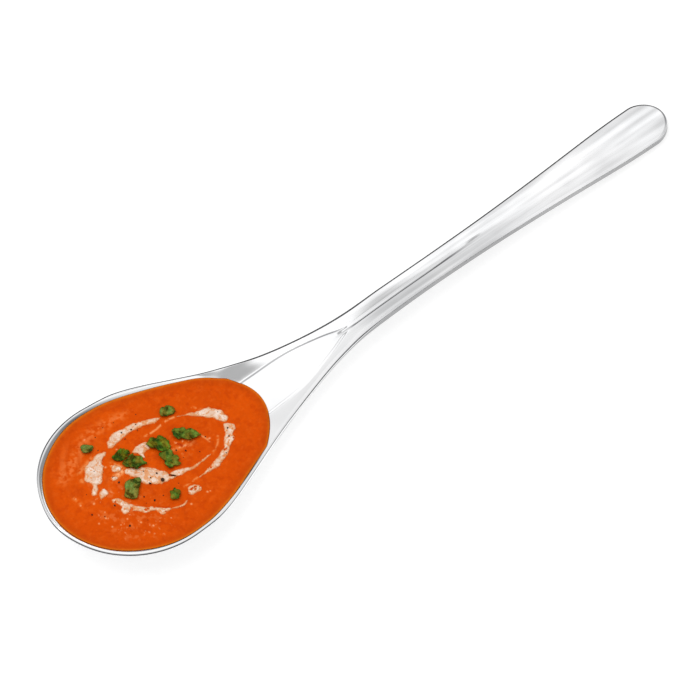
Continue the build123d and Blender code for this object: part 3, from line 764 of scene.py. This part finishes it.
LEAVES = {
    "leaf_1": [(19.0, 13.3), (19.9, 13.8), (20.7, 13.5), (21.2, 12.9), (21.8, 12.0), (21.3, 11.3), (20.4, 11.1), (19.4, 11.3), (18.8, 12.1)],
    "leaf_2": [(40.9, 10.3), (41.7, 10.8), (42.7, 10.6), (43.8, 10.2), (44.5, 9.5), (44.4, 8.5), (43.7, 7.9), (42.7, 8.0), (41.6, 8.2), (40.7, 8.8), (40.5, 9.5)],
    "leaf_3": [(23.5, 6.9), (24.7, 7.3), (25.7, 7.6), (26.8, 7.4), (27.5, 6.7), (27.9, 6.0), (27.7, 5.3), (26.9, 5.0), (26.1, 4.7), (25.0, 4.7), (24.2, 5.0), (23.5, 5.5), (23.3, 6.2)],
    "leaf_4": [(24.3, 3.8), (25.1, 4.3), (26.2, 4.4), (27.1, 4.7), (28.1, 4.8), (28.0, 4.0), (28.8, 3.4), (29.4, 2.8), (29.0, 1.8), (29.3, 0.7), (28.5, 0.4), (27.5, 0.8), (26.3, 0.5), (25.7, 1.4), (24.9, 2.3), (24.3, 2.9)],
    "leaf_5": [(32.4, 4.9), (33.4, 5.4), (34.4, 5.7), (35.1, 5.3), (35.4, 4.7), (36.2, 5.0), (36.8, 4.4), (37.0, 3.6), (37.4, 2.8), (37.2, 1.8), (36.8, 0.9), (35.9, 0.5), (35.1, 0.6), (34.2, 0.9), (33.8, 1.4), (33.4, 2.0), (33.4, 2.7), (32.8, 3.1), (32.4, 3.9)],
    "leaf_6": [(33.3, 0.9), (34.2, 0.6), (35.1, 0.4), (35.9, 0.2), (36.2, -0.6), (36.0, -1.4), (36.5, -2.3), (36.3, -3.0), (35.7, -3.4), (35.7, -4.4), (34.8, -4.3), (34.1, -4.0), (33.4, -4.1), (32.4, -3.8), (32.4, -2.9), (32.3, -2.0), (33.1, -1.4), (32.7, -0.5), (32.8, 0.3)],
    "leaf_7": [(39.8, 4.2), (40.7, 4.4), (41.6, 3.7), (42.5, 3.4), (42.8, 2.5), (43.8, 2.0), (44.3, 1.1), (44.5, 0.1), (44.7, -0.8), (43.8, -0.8), (42.8, -0.7), (41.7, -0.4), (41.0, 0.2), (40.4, 1.1), (39.6, 1.4), (39.2, 2.1), (39.3, 3.1)],
    "leaf_8": [(21.1, -1.0), (22.3, -0.6), (23.3, -0.8), (24.9, -1.3), (25.1, -2.1), (24.1, -3.2), (22.7, -4.3), (21.5, -5.5), (20.8, -5.8), (19.8, -5.1), (18.9, -4.1), (18.8, -3.6), (20.0, -2.3)],
    "leaf_9": [(27.8, -9.8), (28.6, -9.0), (29.2, -9.2), (30.0, -8.8), (30.3, -9.5), (30.6, -10.1), (30.2, -10.9), (29.4, -11.3), (28.9, -11.9), (28.0, -11.4), (27.3, -10.7)],
}
LEAF_TINT = {"leaf_1": 0.85, "leaf_2": 0.55, "leaf_3": 0.0, "leaf_4": 0.30, "leaf_5": 0.12, "leaf_6": 0.38,
             "leaf_7": 0.38, "leaf_8": 0.70, "leaf_9": 0.28}


def build_leaf(name, ring, mat, seed):
    line = curve(ring)
    mid = line.mean(0)
    w, v = np.linalg.eigh(np.cov((line - mid).T))
    ax = v[:, 1]
    if ax[0] < 0:
        ax = -ax
    size = math.sqrt(w[1]) * 1.45

    def local(s, y):
        a = (s - mid[0]) * ax[0] + (y - mid[1]) * ax[1]
        b = -(s - mid[0]) * ax[1] + (y - mid[1]) * ax[0]
        return a, b + 0.10 * np.sin(a * 1.1 + seed)

    def veins(s, y):
        a, b = local(s, y)
        rib = np.exp(-(b / 0.13) ** 2) * smooth((size - np.abs(a)) / 0.8)
        t = (a - 0.75 * np.abs(b)) / 0.78 + 0.37 * seed
        side = np.exp(-(((t - np.round(t)) * 0.78) / 0.11) ** 2)
        return rib, side * smooth((np.abs(b) - 0.05) / 0.3)

    def top(s, y, f):
        a, b = local(s, y)
        rib, side = veins(s, y)
        cup = 0.10 * (b / 1.2) ** 2 + 0.10 * np.sin(a * 0.9 + seed * 1.7)
        puff = 0.16 * smooth(f / 0.5) * (1.0 - 0.85 * np.maximum(rib, 0.7 * side))
        crinkle = 0.30 * (fbm(s * 0.75, y * 0.75, 100 + seed, 3) - 0.5) + 0.26 * (fbm(s * 1.5, y * 1.5, 104, 3) - 0.5)
        return soup_level(s, y) + 0.62 + np.clip(cup, -0.1, 0.28) + puff + crinkle - 0.12 * rib

    def colour(s, y, f):
        rib, side = veins(s, y)
        tint = LEAF_TINT[name]
        c = np.tile(np.array([74.0, 84.0, 3.0]) * (1 - tint) + np.array([112.0, 120.0, 58.0]) * tint, (len(s), 1))
        # dark and light green patches laid at random: partly the leaf's own mottling, partly painted shade and painted
        # highlights
        n1 = 0.6 * fbm(s * 0.8, y * 0.8, 120 + seed, 2) + 0.4 * fbm(s * 1.7, y * 1.7, 130 + seed, 2)
        c = mixc(c, (40, 48, 1), smooth((0.48 - n1) / 0.14) * 0.85)
        c = mixc(c, np.array([112.0, 132.0, 30.0]) * (1 - tint) + np.array([128.0, 140.0, 82.0]) * tint,
                 smooth((n1 - 0.53) / 0.14) * 0.75)
        c = mixc(c, (124, 138, 62), np.maximum(rib * 0.45, side * 0.25))
        c = mixc(c, (44, 60, 4), np.exp(-(f / 0.16) ** 2) * 0.55)
        # older and younger parts of the leaf: browner and greener
        hue = np.clip((fbm(s * 1.0, y * 1.0, 150 + seed, 3) - 0.5) / 0.16, -1.0, 1.0)[:, None]
        c = np.maximum(c + hue * np.array([-13.0, 6.0, 5.0]), 0.0)
        return srgb(c)

    return film(name + "_blade", ring, 0.085, 0.16, top, lambda s, y, f: 0.10 + 0.10 * smooth(f / 0.3), mat,
                colour, 0.0, seed, 0.06 if name == "leaf_8" else 0.20)


# ------------------------------------------------------------------ ground pepper
GRAINS = [
    (29.9, 11.1, 0.42, 1), (32.3, 10.4, 0.34, 1), (34.1, 10.9, 0.30, 1), (33.4, 9.4, 0.26, 1), (29.5, 9.3, 0.30, 0),
    (29.3, -3.0, 0.55, 1), (26.2, -4.2, 0.55, 1), (29.1, -5.3, 1.00, 1), (27.1, -0.6, 0.34, 1), (27.3, -3.1, 0.34, 1), (39.0, -2.0, 0.52, 0),
    (37.4, -3.2, 0.26, 0), (24.1, -8.6, 0.44, 0), (26.6, -8.7, 0.26, 0), (22.7, -6.3, 0.40, 0), (20.4, 0.5, 0.44, 0),
    (9.4, -2.9, 0.44, 0), (11.6, -5.1, 0.26, 0), (14.7, -10.7, 0.44, 0), (15.4, -4.1, 0.40, 1), (45.4, -1.7, 0.26, 0),
    (20.2, 2.5, 0.36, 0), (37.3, -0.5, 0.36, 0), (51.2, -3.0, 0.40, 1), (50.0, -5.0, 0.30, 1),
    (17.6, 6.4, 0.26, 1), (52.2, 2.0, 0.28, 1), (46.4, -8.3, 0.26, 1),
    (22.0, -8.0, 0.22, 0), (31.8, -8.2, 0.24, 0), (41.6, -4.2, 0.22, 0), (19.2, -12.0, 0.24, 0), (24.0, 13.9, 0.26, 0),
    (27.2, 15.0, 0.24, 0), (30.2, 14.6, 0.22, 0), (22.2, 10.6, 0.26, 0), (12.0, 2.4, 0.22, 0), (36.0, 13.2, 0.20, 0),
]

SPLINTER = (32.0, -5.7, 0.52, 1)


def build_pepper(mat):
    verts, faces, cols = [], [], []
    rng = np.random.default_rng(7)
    for s, y, size, on in GRAINS + [SPLINTER]:
        bm = bmesh.new()
        bmesh.ops.create_icosphere(bm, subdivisions=2, radius=1.0)
        p = np.array([q.co[:] for q in bm.verts])
        tri = [tuple(v.index for v in f.verts) for f in bm.faces]
        bm.free()
        # cracked fragment: random planes shave the ball into facets
        for _ in range(7):
            n = rng.normal(size=3)
            n /= np.linalg.norm(n)
            h = rng.uniform(0.45, 0.85)
            over = np.maximum(p @ n - h, 0.0)
            p = p - over[:, None] * n
        stretch = np.array([rng.uniform(0.75, 1.35), rng.uniform(0.6, 1.0), 0.55])
        a = rng.uniform(0, math.pi)
        if (s, y, size, on) == SPLINTER:
            stretch, a = np.array([3.2, 0.62, 0.50]), -0.85
        p = p * stretch * size * 0.66
        r = np.array([[math.cos(a), -math.sin(a)], [math.sin(a), math.cos(a)]])
        p[:, :2] = p[:, :2] @ r.T
        z = float(soup_top(np.array([s]), np.array([y]))[0]) + (0.24 if on else 0.02) + 0.18 * size
        base = len(verts)
        verts += [(s + q[0], y + q[1], z + q[2]) for q in p]
        faces += [tuple(base + i for i in t) for t in tri]
        tone = rng.uniform(0.0, 1.0)
        cols += [np.array([24.0, 14.0, 8.0]) * (1 - tone) + np.array([70.0, 40.0, 20.0]) * tone] * len(p)
    ob = make_mesh("pepper_grains", (np.array(verts) - np.array([LOW, 0, 0])) * MM, faces, mat, flat=True)
    paint(ob, srgb(np.array(cols)))
    return ob


# ------------------------------------------------------------------ materials
def steel_material():
    m, n = material("polished_steel")
    out = n.new("ShaderNodeOutputMaterial")
    p = n.new("ShaderNodeBsdfPrincipled")
    n.put(p, "Metallic", 1.0)
    at = n.new("ShaderNodeAttribute", attribute_name="tone")
    co = n.new("ShaderNodeTexCoord")
    mp = n.new("ShaderNodeMapping")
    n.put(mp, "Scale", (60.0, 900.0, 900.0))
    n.link(co, "Object", mp, "Vector")
    fine = n.noise(1.0, 5.0, 0.6, 0.0, mp, "Vector")
    broad = n.noise(70.0, 3.0, 0.5, 0.0, co, "Object")
    tint = n.ramp([(0.35, (0.84, 0.845, 0.855, 1)), (0.65, (0.90, 0.90, 0.905, 1))])
    n.link(broad, 0, tint, 0)
    # base colour is multiplied by the tone attribute: polishing streaks, plus painted shade on the sheared side and
    # over the handle
    mul = n.new("ShaderNodeMix", data_type="RGBA", blend_type="MULTIPLY")
    n.put(mul, 0, 1.0)
    n.link(tint, 0, mul, 6)
    n.link(at, "Fac", mul, 7)
    n.link(mul, 2, p, "Base Color")
    mix = n.new("ShaderNodeMix", data_type="FLOAT")
    n.put(mix, 0, 0.5)
    n.link(fine, 0, mix, 2)
    n.link(broad, 0, mix, 3)
    mr = n.new("ShaderNodeMapRange")
    n.put(mr, 3, 0.05)
    n.put(mr, 4, 0.12)
    n.link(mix, 0, mr, 0)
    satin = n.new("ShaderNodeMapRange")
    n.put(satin, 1, 0.50)
    n.put(satin, 2, 0.76)
    n.put(satin, 3, 0.22)
    n.put(satin, 4, 0.0)
    n.link(at, "Fac", satin, 0)
    add = n.new("ShaderNodeMath", operation="ADD")
    n.link(mr, 0, add, 0)
    n.link(satin, 0, add, 1)
    n.link(add, 0, p, "Roughness")
    bump = n.new("ShaderNodeBump")
    n.put(bump, "Strength", 0.02)
    n.put(bump, "Distance", 0.0002)
    n.link(fine, 0, bump, "Height")
    n.link(bump, 0, p, "Normal")
    n.link(p, 0, out, 0)
    return m


def food_material(name, scale, low, high, bump_d, bump_s, rough, spec, sss=0.0, radius=(1, 1, 1), sss_scale=0.001):
    """Painted base with fine grain in colour, roughness and height."""
    m, n = material(name)
    out = n.new("ShaderNodeOutputMaterial")
    p = n.new("ShaderNodeBsdfPrincipled")
    at = n.new("ShaderNodeAttribute", attribute_name="paint")
    co = n.new("ShaderNodeTexCoord")
    fine = n.noise(scale, 5.0, 0.6, 0.3, co)
    r = n.ramp([(0.32, (low, low, low, 1)), (0.68, (high, high, high, 1))])
    n.link(fine, 0, r, 0)
    mul = n.new("ShaderNodeMix", data_type="RGBA", blend_type="MULTIPLY")
    n.put(mul, 0, 1.0)
    n.link(at, "Color", mul, 6)
    n.link(r, 0, mul, 7)
    n.link(mul, 2, p, "Base Color")
    mr = n.new("ShaderNodeMapRange")
    n.put(mr, 3, rough - 0.06)
    n.put(mr, 4, rough + 0.06)
    n.link(fine, 0, mr, 0)
    n.link(mr, 0, p, "Roughness")
    n.put(p, "Specular IOR Level", spec)
    if sss > 0:
        n.put(p, "Subsurface Weight", sss)
        n.put(p, "Subsurface Radius", radius)
        n.put(p, "Subsurface Scale", sss_scale)
    bump = n.new("ShaderNodeBump")
    n.put(bump, "Strength", bump_s)
    n.put(bump, "Distance", bump_d)
    n.link(fine, 0, bump, "Height")
    n.link(bump, 0, p, "Normal")
    n.link(p, 0, out, 0)
    return m


STEEL = steel_material()
SOUP = food_material("tomato_soup", 1100.0, 0.95, 1.06, 0.00012, 0.2, 0.30, 0.02)
CREAM_MAT = food_material("cream", 1800.0, 0.90, 1.06, 0.00012, 0.3, 0.34, 0.08)
HERB = food_material("herb_leaf", 2600.0, 0.84, 1.14, 0.00012, 0.35, 0.42, 0.04)
PEPPER = food_material("ground_pepper", 5000.0, 0.6, 1.3, 0.0001, 0.6, 0.7, 0.2)

spoon = build_spoon(STEEL)
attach(spoon, "spoon")
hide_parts("spoon_body")

soup = build_soup(SOUP)
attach(soup, "serving")
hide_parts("soup")

for i, (node, ring) in enumerate(CREAM.items()):
    ob = film(node + "_film", ring, 0.13, 0.30, cream_top, cream_thick, CREAM_MAT, cream_colour,
              HOLES.get(node, 0.0), i)
    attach(ob, "serving")
    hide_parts(node)

for i, (node, ring) in enumerate(LEAVES.items()):
    ob = build_leaf(node, ring, HERB, i + 1)
    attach(ob, "garnish")
    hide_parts(node)

pepper = build_pepper(PEPPER)
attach(pepper, "serving")
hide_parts("pepper_flecks")


# ------------------------------------------------------------------ stage, light, camera
def stage():
    sc = bpy.context.scene
    size = 8.0
    m, n = material("studio_floor")
    out = n.new("ShaderNodeOutputMaterial")
    p = n.new("ShaderNodeBsdfPrincipled")
    n.put(p, "Base Color", (0.46, 0.46, 0.46, 1.0))
    n.put(p, "Emission Color", (1.0, 1.0, 1.0, 1.0))
    n.put(p, "Emission Strength", 0.64)
    n.put(p, "Roughness", 0.9)
    n.put(p, "Specular IOR Level", 0.0)
    n.link(p, 0, out, 0)
    z = -0.00003
    floor = make_mesh("floor", [(-size, -size, z), (size, -size, z), (size, size, z), (-size, size, z)],
                      [(0, 1, 2, 3)], m, flat=True)

    w = bpy.data.worlds.new("studio")
    sc.world = w
    w.use_nodes = True
    n = Nodes(w.node_tree)
    out = n.new("ShaderNodeOutputWorld")
    bg = n.new("ShaderNodeBackground")
    co = n.new("ShaderNodeTexCoord")
    sep = n.new("ShaderNodeSeparateXYZ")
    n.link(co, "Generated", sep, 0)
    # soft overhead dome that falls off to a dark horizon
    up = n.ramp([(0.0, (0.07, 0.07, 0.07)), (0.15, (0.08, 0.08, 0.08)), (0.25, (0.18, 0.18, 0.185)),
                 (0.36, (0.46, 0.46, 0.47)), (0.50, (0.76, 0.76, 0.76)), (0.62, (0.89, 0.89, 0.89)),
                 (0.75, (0.98, 0.98, 0.98)), (0.86, (1.13, 1.13, 1.13)), (1.0, (1.20, 1.20, 1.20))])
    n.link(sep, 2, up, 0)
    wall_x = n.new("ShaderNodeMapRange", interpolation_type="SMOOTHSTEP")
    n.put(wall_x, 1, 0.50)
    n.put(wall_x, 2, 0.85)
    n.put(wall_x, 3, 0.0)
    n.put(wall_x, 4, 0.22)
    n.link(sep, 0, wall_x, 0)
    wall_z = n.new("ShaderNodeMapRange", interpolation_type="SMOOTHSTEP")
    n.put(wall_z, 1, 0.10)
    n.put(wall_z, 2, 0.45)
    n.put(wall_z, 3, 1.0)
    n.put(wall_z, 4, 0.0)
    n.link(sep, 2, wall_z, 0)
    wall = n.new("ShaderNodeMath", operation="MULTIPLY")
    n.link(wall_x, 0, wall, 0)
    n.link(wall_z, 0, wall, 1)
    both = n.new("ShaderNodeMix", data_type="RGBA", blend_type="ADD")
    n.put(both, 0, 1.0)
    n.link(up, 0, both, 6)
    n.link(wall, 0, both, 7)
    # small soft flag overhead, for contrast in the steel
    flag = n.new("ShaderNodeVectorMath", operation="DOT_PRODUCT")
    n.link(co, "Generated", flag, 0)
    n.put(flag, 1, (0.32, -0.02, 0.947))
    shade = n.new("ShaderNodeMapRange", interpolation_type="SMOOTHSTEP")
    n.put(shade, 1, 0.986)
    n.put(shade, 2, 0.9975)
    n.put(shade, 3, 1.0)
    n.put(shade, 4, 0.42)
    n.link(flag, 1, shade, 0)
    lit = n.new("ShaderNodeMix", data_type="RGBA", blend_type="MULTIPLY")
    n.put(lit, 0, 1.0)
    n.link(both, 2, lit, 6)
    n.link(shade, 0, lit, 7)
    n.link(lit, 2, bg, 0)
    n.put(bg, 1, 1.0)
    n.link(bg, 0, out, 0)

    def area(name, loc, target, size_x, size_y, power):
        d = bpy.data.lights.new(name, "AREA")
        d.shape = "RECTANGLE"
        d.size = size_x
        d.size_y = size_y
        d.energy = power
        o = bpy.data.objects.new(name, d)
        sc.collection.objects.link(o)
        o.location = loc
        o.rotation_euler = (Vector(target) - Vector(loc)).to_track_quat("-Z", "Y").to_euler()
        o.visible_camera = False
        return o

    area("key", (-0.35, 0.35, 1.25), (0.0, 0.0, 0.0), 0.9, 0.9, 6.7)

    cam = bpy.data.cameras.new("camera")
    cam.sensor_width = 36.0
    cam.lens = 1000.0
    cam.clip_start = 0.1
    cam.clip_end = 60.0
    co = bpy.data.objects.new("camera", cam)
    sc.collection.objects.link(co)
    elev, turn = math.radians(61.0), math.radians(39.50)
    fwd = Vector((math.sin(turn) * math.cos(elev), math.cos(turn) * math.cos(elev), -math.sin(elev)))
    aim = Vector((0.057136, -0.001932, 0.0))
    dist = (700.0 * cam.lens / 36.0) * 0.24095749e-3
    co.location = aim - fwd * dist
    co.rotation_euler = fwd.to_track_quat("-Z", "Y").to_euler()
    sc.camera = co
    sc.view_settings.view_transform = "Standard"
    sc.view_settings.look = "None"
    sc.view_settings.exposure = 0.0
    sc.view_settings.gamma = 1.0


stage()
